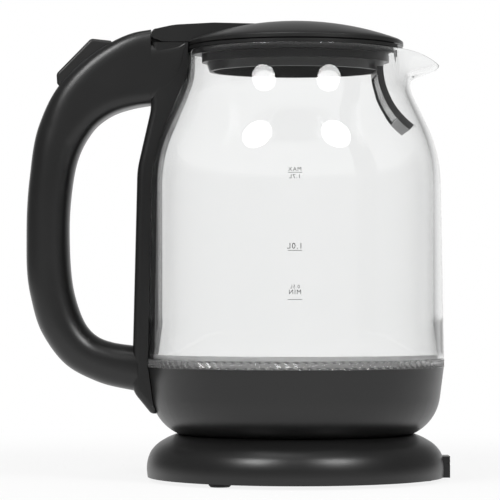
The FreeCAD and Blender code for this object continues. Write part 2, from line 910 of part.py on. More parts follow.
def dome_arc(radius, bottom, height):
    """Arc of a shallow dome from its edge up to the axis."""
    sphere = (radius ** 2 + height ** 2) / (2 * height)
    middle = radius / 2
    middle_z = bottom + height - sphere + math.sqrt(sphere ** 2 - middle ** 2)
    return Part.Arc(V(radius, 0, bottom), V(middle, 0, middle_z), V(0, 0, bottom + height))


def dome_solid(radius, bottom, height, floor):
    """Solid dome on a short straight side."""
    arc = dome_arc(radius, bottom, height).toShape()
    peak, edge = V(0, 0, bottom + height), V(radius, 0, bottom)
    line = [peak, V(0, 0, floor), V(radius, 0, floor), edge]
    sides = [Part.LineSegment(a, b).toShape() for a, b in zip(line, line[1:])]
    return Part.Face(Part.Wire([arc] + sides)).revolve(V(0, 0, 0), UP, 360)


def tongue():
    """Arm from the hinge knuckle on to the dome."""
    bottom = head_top + tongue_gap
    return extruded([
        (hinge_x, hinge_z - knuckle_radius, 0),
        (hinge_x + knuckle_radius, bottom, 0),
        (-lid_dome_radius / 2, bottom, 0),
        (hinge_x + tongue_end_run, lid_rim_top + lid_dome_height / 2, 0),
        (hinge_x + tongue_end_run, hinge_z + tongue_end_rise, 0),
        (hinge_x + tongue_run, hinge_z + tongue_rise, tongue_round),
        (hinge_x + tongue_crest_run, hinge_z + tongue_crest_rise, tongue_round),
        (hinge_x, hinge_z + knuckle_radius, 0),
    ], tongue_width)


def ear_slots():
    """Room in the lid's knuckle for the two fixed ears."""
    slots = []
    for side in (-1, 1):
        slots.append(block(
            (hinge_x - FAR_AWAY, hinge_x + knuckle_radius + ear_slot_gap),
            ear_width + 2 * moving_gap,
            (head_top - 1, FAR_AWAY),
            side * ear_spacing / 2,
        ))
    return slots


def lid_boss_places():
    """Centres of the pillars that take the lid's screws."""
    place = V(lid_boss_circle, 0, 0)
    return [FreeCAD.Rotation(UP, 60 + 120.0 * i).multVec(place) for i in range(3)]


def lid_screw_tips():
    """Seats of the lid's screw heads."""
    return [V(p.x, p.y, plug_bottom + screw_head_height) for p in lid_boss_places()]


def lid_shell():
    """Hollow dome on its rim, turned in one piece."""
    inner_radius = lid_radius - 2 * lid_wall
    inner_bottom = lid_rim_top - lid_wall
    rim = outline([
        (inner_radius, inner_bottom, 0),
        (inner_radius, lid_bottom, 0),
        (lid_radius - lid_wall / 4, lid_bottom, 0),
        (lid_radius, lid_bottom + lid_wall / 4, 0),
        (lid_radius, lid_rim_top - lid_wall / 2, lid_wall / 3),
        (lid_dome_radius, lid_rim_top, 0),
    ], closed=False)
    peak = V(0, 0, lid_rim_top + lid_dome_height)
    axis = Part.LineSegment(peak, peak - UP * lid_wall).toShape()
    outside = dome_arc(lid_dome_radius, lid_rim_top, lid_dome_height).toShape()
    inside = dome_arc(inner_radius, inner_bottom, lid_dome_height).toShape()
    edges = Part.sortEdges(rim + [outside, axis, inside])[0]
    return Part.Face(Part.Wire(edges)).revolve(V(0, 0, 0), UP, 360)


def lid_cap():
    inner_radius = lid_radius - 2 * lid_wall
    room = dome_solid(inner_radius - lid_rib, lid_rim_top - lid_wall, lid_dome_height - lid_rib, lid_bottom - lid_wall)
    knuckle = cross_rod(knuckle_radius, tongue_width, hinge_x, hinge_z)
    arm = fuse_all([tongue(), knuckle]).cut(room)
    pillar_foot = plug_bottom + plug_wall + seat_gap
    pillar_head = lid_rim_top + lid_dome_height / 2
    pillars = [cylinder(lid_boss_radius, pillar_foot, pillar_head, p.x, p.y) for p in lid_boss_places()]
    cap = fuse_all([lid_shell(), arm] + pillars)
    bore = cross_rod(hinge_pin_radius + pin_fit, hinge_pin_length + 2 * moving_gap, hinge_x, hinge_z)
    holes = [cylinder(screw_hole_radius, 0, plug_bottom + screw_length + 2, p.x, p.y) for p in lid_boss_places()]
    return cut_all(cap, [bore] + ear_slots() + holes)


def lid_plug():
    top = lid_bottom + plug_flange
    flange = tube(lid_radius - 2 * lid_wall - seat_gap, plug_radius - plug_wall, lid_bottom, top)
    cup = cut_all(
        cylinder(plug_radius, plug_bottom, top),
        [cylinder(plug_radius - plug_wall, plug_bottom + plug_wall, FAR_AWAY)],
    )
    return cut_all(fuse_all([flange, cup]), [screw_hole(tip, UP) for tip in lid_screw_tips()])


def lid_seal():
    bottom = plug_bottom + plug_wall
    return tube(plug_radius + lid_seal_width, plug_radius + seat_gap / 2, bottom, bottom + lid_seal_height)


def lid_screws():
    return Part.makeCompound([screw(tip, UP) for tip in lid_screw_tips()])


def hinge_pin():
    return cross_rod(hinge_pin_radius, hinge_pin_length, hinge_x, hinge_z)


# Column and handle

def place(station, level):
    """Point of a station: outward from the glass wall, upward from a level."""
    outward, up = station
    return V(-(glass_radius + outward), 0, level + up)


def handle_stations():
    """Outer and inner point of each section of the handle, from the hinge round to the lower arm."""
    head = (V(handle_face, 0, glass_rim + handle_head_rise), V(handle_face, 0, head_bottom))
    uppers = [(place(o, glass_rim), place(i, glass_rim)) for o, i in upper_stations]
    grip = tuple(place(p, glass_rim) for p in grip_station)
    lowers = [(place(o, housing_rim), place(i, housing_rim)) for o, i in lower_stations]
    foot = (V(arm_face, 0, housing_rim - arm_bottom), V(arm_face, 0, housing_rim + arm_top))
    return [head] + uppers + [grip] + lowers + [foot]


def handle_section(outer, inner, start, stop, half_width, start_round, stop_round):
    """Rounded section across the handle, between two depths from its outer point."""
    along = (inner - outer).normalize()
    across = V(0, 1, 0)

    def at(depth, side):
        return outer + along * depth + across * side

    edges = []

    def line(a, b):
        edges.append(Part.LineSegment(a, b).toShape())

    def arc(corner_depth, side, radius, a, b):
        bend = radius * (1 - math.sqrt(0.5))
        toward = 1 if corner_depth == start else -1
        middle = at(corner_depth + toward * bend, side - math.copysign(bend, side))
        edges.append(Part.Arc(a, middle, b).toShape())

    w, r, q = half_width, start_round, stop_round
    line(at(start + r, -w), at(stop - q, -w))
    if q:
        arc(stop, -w, q, at(stop - q, -w), at(stop, -w + q))
    line(at(stop, -w + q), at(stop, w - q))
    if q:
        arc(stop, w, q, at(stop, w - q), at(stop - q, w))
    line(at(stop - q, w), at(start + r, w))
    if r:
        arc(start, w, r, at(start + r, w), at(start, w - r))
    line(at(start, w - r), at(start, -w + r))
    if r:
        arc(start, -w, r, at(start, -w + r), at(start + r, -w))
    return Part.Wire(edges)


def handle_loft(stations, start, stop, half_width, start_round, stop_round):
    """Loft through the stations; a stop of zero or less counts from the inner contour."""
    wires = []
    for outer, inner in stations:
        depth = outer.distanceToPoint(inner)
        end = stop if stop > 0 else depth + stop
        wires.append(handle_section(outer, inner, start, end, half_width, start_round, stop_round))
    return Part.makeLoft(wires, True, False)


def handle_cover():
    stations = handle_stations()
    outside = handle_loft(stations, 0, cover_depth, handle_width / 2, cover_round, 0)
    hollow = handle_loft(
        stations[1:-1],
        handle_wall,
        cover_depth + 1,
        handle_width / 2 - handle_wall,
        cover_round - handle_wall,
        0,
    )
    return cut_all(outside, [hollow, rocker_window(), head_recess()])


def handle_shell():
    stations = handle_stations()
    half = handle_width / 2
    outside = handle_loft(stations, cover_depth + handle_seam, 0, half, 0, shell_round)
    hollow = handle_loft(
        stations[1:-1], cover_depth - 1, -handle_wall, half - handle_wall, 0, shell_round - handle_wall)
    holes = [screw_hole(tip, V(-1, 0, 0)) for tip in handle_screw_tips()]
    return cut_all(outside, [hollow, cable_form(cable_hole_radius), rocker_window(), head_recess()] + holes)


def head_recess():
    """Room for the lid's knuckle in front of the handle."""
    return cross_rod(knuckle_radius + moving_gap, FAR_AWAY, hinge_x, hinge_z)


def handle_screw_tips():
    """Seats of the four screws that hold the handle to the column."""
    upper_x = handle_face + screw_length / 3
    lower_x = arm_face + screw_length / 3
    side = handle_width / 2 - handle_wall - screw_head_radius
    tips = [V(upper_x, s * side, (head_bottom + head_top) / 2) for s in (-1, 1)]
    return tips + [V(lower_x, s * side, housing_rim + arm_top / 2) for s in (-1, 1)]


def handle_screws():
    return Part.makeCompound([screw(tip, V(-1, 0, 0)) for tip in handle_screw_tips()])


def column_blank():
    """Column before the glass is cut out of it."""
    foot = housing_rim - column_foot_drop
    shoulder_z = glass_rim - column_shoulder_drop
    blank = extruded([
        (0, foot, 0),
        (-(housing_radius - housing_taper / 2), foot, column_foot_round),
        (arm_face, housing_rim - arm_bottom, column_arm_round),
        (arm_face, housing_rim + arm_top, column_bend_round),
        (-(glass_radius + column_shoulder_depth), shoulder_z, column_shoulder_round),
        (handle_face, head_bottom - column_round, column_head_round),
        (handle_face, head_top, 0),
        (0, head_top, 0),
    ], column_width)
    rounded = [
        edge for edge in blank.Edges
        if abs(abs(edge.CenterOfMass.y) - column_width / 2) < 1e-3
        and edge.BoundBox.XMax < -mouth_radius and edge.BoundBox.ZMax < head_bottom + 1
    ]
    return blank.makeFillet(column_round, rounded)


def rear_column():
    blank = column_blank()
    front = block((-mouth_radius - tab_reach - 1, 0), tab_width + 2 * moving_gap, (glass_rim, FAR_AWAY))
    inner_half = block((-mouth_radius / 2, FAR_AWAY), FAR_AWAY, (0, FAR_AWAY))
    ears = []
    for side in (-1, 1):
        y = side * ear_spacing / 2
        stem = block((hinge_x - knuckle_radius, hinge_x + knuckle_radius), ear_width, (head_top - 1, hinge_z), y)
        eye = cross_rod(knuckle_radius, ear_width, hinge_x, hinge_z)
        eye.translate(V(0, y, 0))
        ears.append(fuse_all([stem, eye]))
    ring = cylinder(housing_radius + ring_overhang + column_gap, housing_rim - 1, ring_top + 1)
    tools = [
        front,
        inner_half,
        glass_form(-column_gap, below=1, above=10),
        housing_form(-column_gap),
        ring,
        cross_rod(hinge_pin_radius + seat_gap / 5, FAR_AWAY, hinge_x, hinge_z),
        cable_form(cable_hole_radius),
    ]
    tools += [screw_hole(tip, V(-1, 0, 0)) for tip in handle_screw_tips()]
    tools += [screw_hole(tip, UP * -1) for tip in tab_screw_tips()]
    return cut_all(fuse_all([blank] + ears), tools)


# Power rocker and steam switch

def rocker_frame():
    """Upper end of the rocker's seat, direction down the seat, outward normal and seat length."""
    upper, lower = place(rocker_upper, glass_rim), place(rocker_lower, glass_rim)
    down = (lower - upper).normalize()
    return upper, down, V(down.z, 0, -down.x), upper.distanceToPoint(lower)


def rocker_outline(play, toe_play):
    """Side outline of the rocker on its seat, grown by play, and by toe_play at its lower end."""
    upper, down, normal, length = rocker_frame()
    profile = [
        (-play, -rocker_sink - 2 * play, 0),
        (length + toe_play, -rocker_sink - 2 * play, 0),
        (length + toe_play, play, 0),
        (length - rocker_round + toe_play, rocker_toe_height + play, rocker_round),
        (rocker_height + play, rocker_height + play, rocker_round),
        (-play, play, 0),
    ]
    corners = []
    for s, h, radius in profile:
        point = upper + down * s + normal * h
        corners.append((point.x, point.z, radius))
    return corners


def pivot():
    """Axis of the rocker, under the middle of its seat."""
    upper, down, normal, length = rocker_frame()
    return upper + down * (length / 2) - normal * pivot_depth


def rocker_window():
    """Opening in the handle that the rocker stands in."""
    return extruded(rocker_outline(rocker_play, rocker_toe_play), rocker_width + 2 * rocker_play)


def switch_rocker():
    wedge = extruded(rocker_outline(0, 0), rocker_width)
    upper, down, normal, length = rocker_frame()
    rounded = [
        edge for edge in wedge.Edges
        if abs(abs(edge.CenterOfMass.y) - rocker_width / 2) < 1e-3
        and (edge.CenterOfMass - upper).dot(normal) > rocker_rounded_from
    ]
    wedge = wedge.makeFillet(rocker_side_round, rounded)
    axis = pivot()
    web = extruded([
        (p.x, p.z, 0) for p in (
            axis - down * pivot_boss_radius,
            axis + down * pivot_boss_radius,
            axis + down * pivot_boss_radius + normal * (pivot_depth - rocker_sink / 2),
            axis - down * pivot_boss_radius + normal * (pivot_depth - rocker_sink / 2),
        )
    ], pivot_boss_width)
    boss = cross_rod(pivot_boss_radius, pivot_boss_width, axis.x, axis.z)
    bore = cross_rod(switch_pin_radius + pin_fit, FAR_AWAY, axis.x, axis.z)
    return cut_all(fuse_all([wedge, web, boss]), [bore])


def switch_body_box():
    """X and Z range of the steam switch's body, below the pivot."""
    axis = pivot()
    top = axis.z - switch_drop
    return (axis.x - switch_length / 3, axis.x + switch_length * 2 / 3), (top - switch_height, top)


def switch_ear_y():
    """Middle of each ear that holds the rocker's pin."""
    return pivot_boss_width / 2 + moving_gap + switch_ear_width / 2


def steam_switch():
    x_range, z_range = switch_body_box()
    axis = pivot()
    body = block(x_range, handle_width - 2 * handle_wall - 2 * switch_side_gap, z_range)
    ears = []
    for side in (-1, 1):
        y = side * switch_ear_y()
        stem = block(
            (axis.x - pivot_boss_radius, axis.x + pivot_boss_radius), switch_ear_width, (z_range[1] - 1, axis.z), y)
        eye = cross_rod(pivot_boss_radius, switch_ear_width, axis.x, axis.z)
        eye.translate(V(0, y, 0))
        ears += [stem, eye]
    bore = cross_rod(switch_pin_radius + seat_gap / 5, FAR_AWAY, axis.x, axis.z)
    return cut_all(fuse_all([body] + ears), [bore])


def steam_disc():
    x_range, z_range = switch_body_box()
    middle = V(x_range[1], 0, sum(z_range) / 2)
    return Part.makeCylinder(steam_disc_radius, disc_sheet, middle, V(1, 0, 0))


def switch_pin():
    axis = pivot()
    return cross_rod(switch_pin_radius, 2 * switch_ear_y() + switch_ear_width, axis.x, axis.z)


def cable_route():
    """Points of the lead: steam switch, down the hollow grip, lower arm, through the housing to the control."""
    x_range, z_range = switch_body_box()
    start = V(x_range[0] + 2 * cable_radius, 0, z_range[0] - cable_radius)
    middles = [(o + i) * 0.5 for o, i in handle_stations()]
    grip_top, grip, grip_low, bend, arm = middles[5], middles[7], middles[8], middles[10], middles[11]
    cover_top = housing_rim - arm_bottom + cover_depth + handle_seam
    entry = V(arm_face, 0, cover_top + cable_hole_radius)
    inside = V(-(ledge_inner_radius - 2), 0, control_bottom + 4 * cable_radius)
    control = V(-control_radius - seat_gap, 0, inside.z)
    return [start, grip_top, grip, grip_low, bend, arm, entry, inside, control]


def cable_form(radius):
    """Round lead of a given radius along its route: straight runs joined by tangent arcs."""
    route = cable_route()
    lengths = [a.distanceToPoint(b) for a, b in zip(route, route[1:])]
    corners = [(route[0].x, route[0].z, 0)]
    for i in range(1, len(route) - 1):
        back = (route[i - 1] - route[i]).normalize()
        ahead = (route[i + 1] - route[i]).normalize()
        half = back.getAngle(ahead) / 2
        corners.append((route[i].x, route[i].z, cable_bend_share * min(lengths[i - 1], lengths[i]) * math.tan(half)))
    corners.append((route[-1].x, route[-1].z, 0))
    spine = Part.Wire(outline(corners, closed=False))
    heading = (route[1] - route[0]).normalize()
    ring = Part.Wire(Part.makeCircle(radius, route[0], heading))
    return spine.makePipeShell([ring], True, True)


def switch_cable():
    return cable_form(cable_radius)


pieces = (
    base_cover, base_bottom_plate, base_feet, base_screws, cord_outlet, base_connector, base_contacts,
    jug_socket, socket_contacts,
    lower_housing, housing_bottom_cover, housing_screws, light_ring, led_boards, leds,
    heater_plate, glass_seal, heat_spreader, heater_element, thermal_control, bimetal_discs, control_screws,
    glass_jug, neck_collar, collar_seal, collar_screws, strainer_frame, strainer_mesh,
    rear_column, handle_shell, handle_cover, handle_screws,
    hinge_pin, steam_switch, steam_disc, switch_pin, switch_cable,
    lid_cap, lid_plug, lid_seal, lid_screws,
    switch_rocker,
)

os.makedirs("parts", exist_ok=True)
for piece in pieces:
    shape = piece()
    shape.exportStep("parts/" + piece.__name__ + ".step")
    box = shape.optimalBoundingBox()
    print(
        f"{piece.__name__:22s} {len(shape.Solids)} solid(s), {shape.Volume / 1000:8.2f} cm3, valid {shape.isValid()},"
        f" x {box.XMin:.1f} to {box.XMax:.1f}, z {box.ZMin:.1f} to {box.ZMax:.1f}"
    )
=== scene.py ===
# %% [markdown]
# # A cordless glass kettle
# This notebook dresses a kettle whose solids come from a CAD pack.
# The solids could be drawn again from nothing, but then the sizes would drift,
# so the pack is loaded first and every new surface is worked out in the same frame.

# %% Load the frame
import json

import bpy
import numpy as np
from mathutils import Matrix


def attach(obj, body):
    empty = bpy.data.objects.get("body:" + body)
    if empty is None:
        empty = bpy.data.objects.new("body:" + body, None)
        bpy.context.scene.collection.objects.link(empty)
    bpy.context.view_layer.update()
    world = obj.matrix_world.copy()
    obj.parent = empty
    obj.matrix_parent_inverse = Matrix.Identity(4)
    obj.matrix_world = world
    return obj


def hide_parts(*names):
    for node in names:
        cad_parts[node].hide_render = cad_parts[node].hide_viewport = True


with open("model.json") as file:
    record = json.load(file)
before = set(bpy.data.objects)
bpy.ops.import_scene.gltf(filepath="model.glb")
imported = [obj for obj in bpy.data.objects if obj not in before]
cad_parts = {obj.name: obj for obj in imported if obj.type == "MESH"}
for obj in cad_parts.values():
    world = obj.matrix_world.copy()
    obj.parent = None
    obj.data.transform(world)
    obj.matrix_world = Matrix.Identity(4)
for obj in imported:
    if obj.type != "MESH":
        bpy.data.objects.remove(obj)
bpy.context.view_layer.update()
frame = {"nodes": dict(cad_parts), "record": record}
nodes = frame["nodes"]
MM = 0.001

# %% [markdown]
# ## Writing finishes as arithmetic
# Every finish is a small network of shader nodes.
# Networks can be wired by hand, one link at a time, but the sums get lost in the wiring.
# Here a class stands for one wire, so that a sum on wires adds its own Math nodes.

# %% A wire that does arithmetic
class Wire:
    """One output socket of a node; sums with numbers or other wires become Math nodes."""

    def __init__(self, finish, socket):
        self.finish = finish
        self.socket = socket

    def combine(self, operation, first, second):
        return self.finish.node("ShaderNodeMath", {"operation": operation}, {0: first, 1: second})

    def __add__(self, other):
        return self.combine("ADD", self, other)

    def __sub__(self, other):
        return self.combine("SUBTRACT", self, other)

    def __rsub__(self, other):
        return self.combine("SUBTRACT", other, self)

    def __mul__(self, other):
        return self.combine("MULTIPLY", self, other)

    __radd__ = __add__
    __rmul__ = __mul__


class Network:
    """A tree of shader nodes; node() adds one to it."""

    def __init__(self, tree):
        self.tree = tree

    def node(self, kind, settings=None, inputs=None, output=0):
        """Adds a node, makes its settings, then gives its sockets values or links."""
        made = self.tree.nodes.new(kind)
        for key, value in (settings or {}).items():
            if key == "stops":
                self.fill_ramp(made.color_ramp, value)
            else:
                setattr(made, key, value)
        for key, value in (inputs or {}).items():
            self.feed(made.inputs[key], value)
        return Wire(self, made.outputs[output])

    def feed(self, socket, value):
        """Links a wire to a socket, or sets the socket's own value."""
        if isinstance(value, Wire):
            self.tree.links.new(value.socket, socket)
        else:
            socket.default_value = value

    def fill_ramp(self, ramp, stops):
        """Gives a colour ramp its stops, as (place, colour) pairs."""
        while len(ramp.elements) < len(stops):
            ramp.elements.new(1.0)
        for element, (place, colour) in zip(ramp.elements, stops):
            element.position = place
            element.color = colour


class Finish(Network):
    """A material with one Principled shader, whose other nodes feed it."""

    def __init__(self, name, **constants):
        self.material = bpy.data.materials.new(name)
        self.material.use_nodes = True
        super().__init__(self.material.node_tree)
        self.shader = self.tree.nodes["Principled BSDF"]
        self.set(**constants)

    def set(self, **constants):
        """Sets sockets of the shader, named with underscores for spaces."""
        for key, value in constants.items():
            self.feed(self.shader.inputs[key.replace("_", " ")], value)

    def place(self):
        """Object coordinates, which are the kettle's own metres."""
        return self.node("ShaderNodeTexCoord", output="Object")

    def noise(self, grain, stretch=(1, 1, 1), detail=2.0):
        """Noise whose lumps are about grain metres across, drawn out by stretch."""
        scale = tuple(1.0 / (grain * s) for s in stretch)
        at = self.node("ShaderNodeMapping", inputs={"Vector": self.place(), "Scale": scale})
        return self.node("ShaderNodeTexNoise", inputs={"Vector": at, "Scale": 1.0, "Detail": detail})

    def between(self, mask, low, high):
        """A colour that goes from low to high with the mask."""
        stops = [(0.0, (*low, 1.0)), (1.0, (*high, 1.0))]
        return self.node("ShaderNodeValToRGB", {"stops": stops}, {"Fac": mask})

    def bump(self, height, depth, strength):
        """A bump of that depth in metres."""
        return self.node(
            "ShaderNodeBump", inputs={"Height": height, "Distance": depth, "Strength": strength})


print("shader helpers ready")

# %% [markdown]
# ## Moulded plastics
# The housing, handle and base are black polypropylene from a lightly spark-eroded mould,
# which leaves a fine even grain. The lid came from a smoother mould, so its grain is shallower.
# A flat black would hide the form, so the grain is a bump and the gloss wanders a little.

# %% Plastics
SHADE_LUMP = 0.03
GRAIN_DETAIL = 4.0
GRAIN_STRENGTH = 0.6


def moulded(name, dark, light, rough, spread, grain, depth):
    """Plastic whose grey and roughness follow slow noise and whose skin has a fine grain."""
    finish = Finish(name, IOR=1.49)
    slow = finish.noise(SHADE_LUMP)
    fine = finish.noise(grain, detail=GRAIN_DETAIL)
    finish.set(
        Base_Color=finish.between(slow, (dark,) * 3, (light,) * 3),
        Roughness=rough + spread * (slow - 0.5) + 0.5 * spread * (fine - 0.5),
        Normal=finish.bump(fine, depth, GRAIN_STRENGTH),
    )
    return finish.material


# Grey of the dark and the light parts, roughness and its spread, size and depth of the grain in metres
plastics = {
    "black_plastic": (0.0070, 0.010, 0.34, 0.08, 0.0006, 0.00003),
    "underside_plastic": (0.008, 0.011, 0.55, 0.10, 0.0006, 0.00003),
    "rocker_plastic": (0.008, 0.011, 0.40, 0.10, 0.0006, 0.00002),
    "lid_plastic": (0.008, 0.012, 0.34, 0.08, 0.0005, 0.00001),
    "cable_jacket": (0.018, 0.026, 0.5, 0.10, 0.0004, 0.00002),
    "foot_rubber": (0.020, 0.030, 0.78, 0.12, 0.0005, 0.00004),
}
finishes = {name: moulded(name, *look) for name, look in plastics.items()}
print("plastics:", sorted(finishes))

# %% [markdown]
# ## Clear materials
# The jug is borosilicate glass and the ring under it is clear moulded acrylic.
# Both could be faked with a pale see-through colour, but only refraction gives the dark edge lines
# of a thick wall, so the shader's transmission does the work. The seals are black silicone,
# apart from the pale one under the glass.

# %% Glass, acrylic and silicone
GLASS_TINT, GLASS_DENSITY = (0.50, 0.52, 0.51, 1.0), 12.0
WIPE_GRAIN, WIPE_STRETCH, WIPE_ROUGHNESS = 0.02, (1, 1, 0.4), 0.004


def clouded(name, grain, low, high, rough, spread, **constants):
    """A material where one noise takes the colour from low to high and adds spread to the roughness."""
    finish = Finish(name, **constants)
    cloud = finish.noise(grain)
    finish.set(Base_Color=finish.between(cloud, low, high), Roughness=rough + spread * cloud)
    return finish.material


glass = Finish("clear_glass", Transmission_Weight=1.0, IOR=1.47)
absorbed = glass.node("ShaderNodeVolumeAbsorption", inputs={"Color": GLASS_TINT, "Density": GLASS_DENSITY})
glass.feed(glass.tree.nodes["Material Output"].inputs["Volume"], absorbed)
wipe = glass.noise(WIPE_GRAIN, WIPE_STRETCH)
glass.set(
    Base_Color=glass.between(wipe, (0.985, 0.99, 0.988), (1.0, 1.0, 1.0)),
    Roughness=WIPE_ROUGHNESS * wipe,
)
finishes["clear_glass"] = glass.material
finishes["clear_plastic"] = clouded(
    "clear_plastic", grain=0.004, low=(0.94,) * 3, high=(0.99,) * 3, rough=0.05, spread=0.05,
    Transmission_Weight=0.9, IOR=1.49)

lens = Finish("led_lens", Transmission_Weight=0.6, IOR=1.5, Roughness=0.2)
lens.set(Base_Color=lens.between(lens.noise(grain=0.001), (0.75, 0.8, 0.9), (0.85, 0.9, 0.97)))
finishes["led_lens"] = lens.material

finishes["silicone"] = clouded(
    "silicone", grain=0.005, low=(0.020,) * 3, high=(0.032,) * 3, rough=0.45, spread=0.1, IOR=1.41)
own_finish = {"glass_seal": clouded(
    "pale_silicone", grain=0.005, low=(0.70,) * 3, high=(0.80,) * 3, rough=0.4, spread=0.1, IOR=1.41)}
print("clear finishes:", [finishes[key].name for key in ("clear_glass", "clear_plastic", "silicone")])

# %% [markdown]
# ## Metals
# The floor of the jug is drawn stainless steel, and under it sit aluminium, brass and bimetal pieces.
# Metals are told apart by colour and by the marks of how they were worked,
# so each one has its own colour and a noise drawn out along the direction of working.

# %% Metals
TOOLING_DETAIL = 3.0
TOOLING_SPREAD = 0.16
TOOLING_DEPTH, TOOLING_STRENGTH = 0.00002, 0.4


def worked_metal(name, low, high, rough, grain, stretch):
    """Bare metal with drawn-out marks in its colour, roughness and skin."""
    finish = Finish(name, Metallic=1.0)
    marks = finish.noise(grain, stretch, detail=TOOLING_DETAIL)
    finish.set(
        Base_Color=finish.between(marks, low, high),
        Roughness=rough + TOOLING_SPREAD * (marks - 0.5),
        Normal=finish.bump(marks, TOOLING_DEPTH, TOOLING_STRENGTH),
    )
    return finish.material


# Dark and light colour, roughness, size of the marks in metres, and how far they run along X, Y and Z
metals = {
    "stainless": ((0.66,) * 3, (0.78,) * 3, 0.15, 0.0006, (14, 1, 14)),
    "aluminium_plate": ((0.70,) * 3, (0.82,) * 3, 0.42, 0.001, (6, 1, 1)),
    "element_sheath": ((0.42, 0.40, 0.38), (0.58, 0.56, 0.54), 0.40, 0.001, (1, 1, 1)),
    "bimetal": ((0.62, 0.56, 0.45), (0.72, 0.66, 0.55), 0.30, 0.0008, (5, 1, 1)),
    "brass_contact": ((0.68, 0.50, 0.22), (0.82, 0.64, 0.32), 0.26, 0.0008, (1, 1, 4)),
    "screw_steel": ((0.50,) * 3, (0.62,) * 3, 0.34, 0.0004, (1, 1, 3)),
}
finishes.update({name: worked_metal(name, *look) for name, look in metals.items()})
finishes["board_green"] = clouded(
    "board_green", grain=0.0008, low=(0.02, 0.13, 0.05), high=(0.03, 0.19, 0.08), rough=0.4, spread=0.1,
    IOR=1.5, Coat_Weight=0.4)
print("finishes in all:", len(finishes))

# %% [markdown]
# ## Dressing the solids
# A solid from the pack is a heap of loose triangles, each shaded flat.
# The shapes are right, so they stay as they are; welding and splitting at sharp edges
# in modifiers lets the rounded faces shade as one smooth skin.

# %% Finish and shade every CAD node
SHARP_EDGE = np.radians(28.0)
WELD_DISTANCE = 0.000002


def shade_softly(piece):
    """Welds the triangles, parts them again along sharp edges and weighs the normals by area."""
    piece.data.polygons.foreach_set("use_smooth", np.ones(len(piece.data.polygons), bool))
    weld = piece.modifiers.new("weld", "WELD")
    weld.merge_threshold = WELD_DISTANCE
    split = piece.modifiers.new("sharp edges", "EDGE_SPLIT")
    split.split_angle = SHARP_EDGE
    piece.modifiers.new("even normals", "WEIGHTED_NORMAL")


for subpart in frame["record"]["subparts"]:
    piece = nodes[subpart["node"]]
    piece.data.materials.clear()
    piece.data.materials.append(own_finish.get(subpart["node"], finishes[subpart["material_slot"]]))
    shade_softly(piece)

# %% [markdown]
# ## Surfaces from two parameters
# The new pieces are surfaces: a grid of points from a function of two parameters.
# Blender can lathe and loft by itself, but a formula keeps the wall thickness and the ends exact.
# One helper turns a grid into a mesh, closing it round either way.

# %% Grid to mesh
def add_object(name, data):
    """A new object in the scene, at the origin."""
    thing = bpy.data.objects.new(name, data)
    bpy.context.scene.collection.objects.link(thing)
    return thing


def grid_piece(name, points, body, slot, around_u=False, around_v=False, smooth=True, capped=False):
    """Mesh from an array of points [u, v, xyz]; each quad joins (u, v), (u+1, v), (u+1, v+1), (u, v+1).
    Caps are the first ring of v as it runs and the last one backwards."""
    count_u, count_v, _ = points.shape
    u = np.arange(count_u if around_u else count_u - 1)
    v = np.arange(count_v if around_v else count_v - 1)
    u, v = np.meshgrid(u, v, indexing="ij")
    u_next, v_next = (u + 1) % count_u, (v + 1) % count_v
    quads = np.stack(
        [u * count_v + v, u_next * count_v + v, u_next * count_v + v_next, u * count_v + v_next], axis=-1)
    faces = quads.reshape(-1, 4).tolist()
    if capped:
        faces += [list(range(count_v)), list(range(count_u * count_v - 1, (count_u - 1) * count_v - 1, -1))]
    return mesh_piece(name, points.reshape(-1, 3), faces, body, slot, smooth)


def mesh_piece(name, points, faces, body, slot, smooth=True):
    """An object at the origin with those points and faces, riding on a body with a slot's finish."""
    mesh = bpy.data.meshes.new(name)
    mesh.from_pydata(points, [], faces)
    mesh.polygons.foreach_set("use_smooth", np.full(len(mesh.polygons), smooth))
    mesh.materials.append(finishes[slot])
    mesh.update()
    piece = add_object(name, mesh)
    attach(piece, body)
    print(name, "has", len(faces), "faces")
    return piece


def spun(radius, height, turn):
    """Grid [turn, row, xyz] of a spun surface: x = radius cos(turn), y = radius sin(turn), z = height."""
    turn = turn[:, None]
    return np.stack(np.broadcast_arrays(radius * np.cos(turn), radius * np.sin(turn), height), axis=-1)


def smooth_line(knots, places):
    """A smooth curve through knots: cubic Hermite pieces whose slopes point from neighbour to neighbour."""
    knots = np.asarray(knots, float)
    steps = np.linalg.norm(np.diff(knots, axis=0), axis=1)
    at = np.concatenate([[0.0], np.cumsum(steps)]) / steps.sum()
    slopes = np.gradient(knots, at, axis=0)
    i = np.clip(np.searchsorted(at, places, side="right") - 1, 0, len(at) - 2)
    width = at[i + 1] - at[i]
    t = ((places - at[i]) / width)[:, None]
    width = width[:, None]
    start = (2 * t ** 3 - 3 * t ** 2 + 1) * knots[i] + (t ** 3 - 2 * t ** 2 + t) * width * slopes[i]
    end = (3 * t ** 2 - 2 * t ** 3) * knots[i + 1] + (t ** 3 - t ** 2) * width * slopes[i + 1]
    return start + end


print("surface helpers ready")

# %% [markdown]
# ## The glass jug
# The jug is blown glass: a tall barrel, a rounded shoulder and a neck,
# with a spout pulled out of the hot rim.
# A lathe gives everything but the spout, so the profile line is a function of height
# and the spout is a second profile that takes over within a narrow angle.

# %% Profile of the jug
LIP_RISE = 0.5
RIM_Z = 227.1
PROFILE_POINTS = 84
ARC_POINTS = 24
# Radius, height and rounding of each corner of the outside, from the foot to the rim
jug_corners = np.array([
    [78.6, 64.4, 0.0], [76.8, 173.6, 75.0], [57.9, 212.3, 58.0], [57.8, RIM_Z - LIP_RISE, 0.0]])


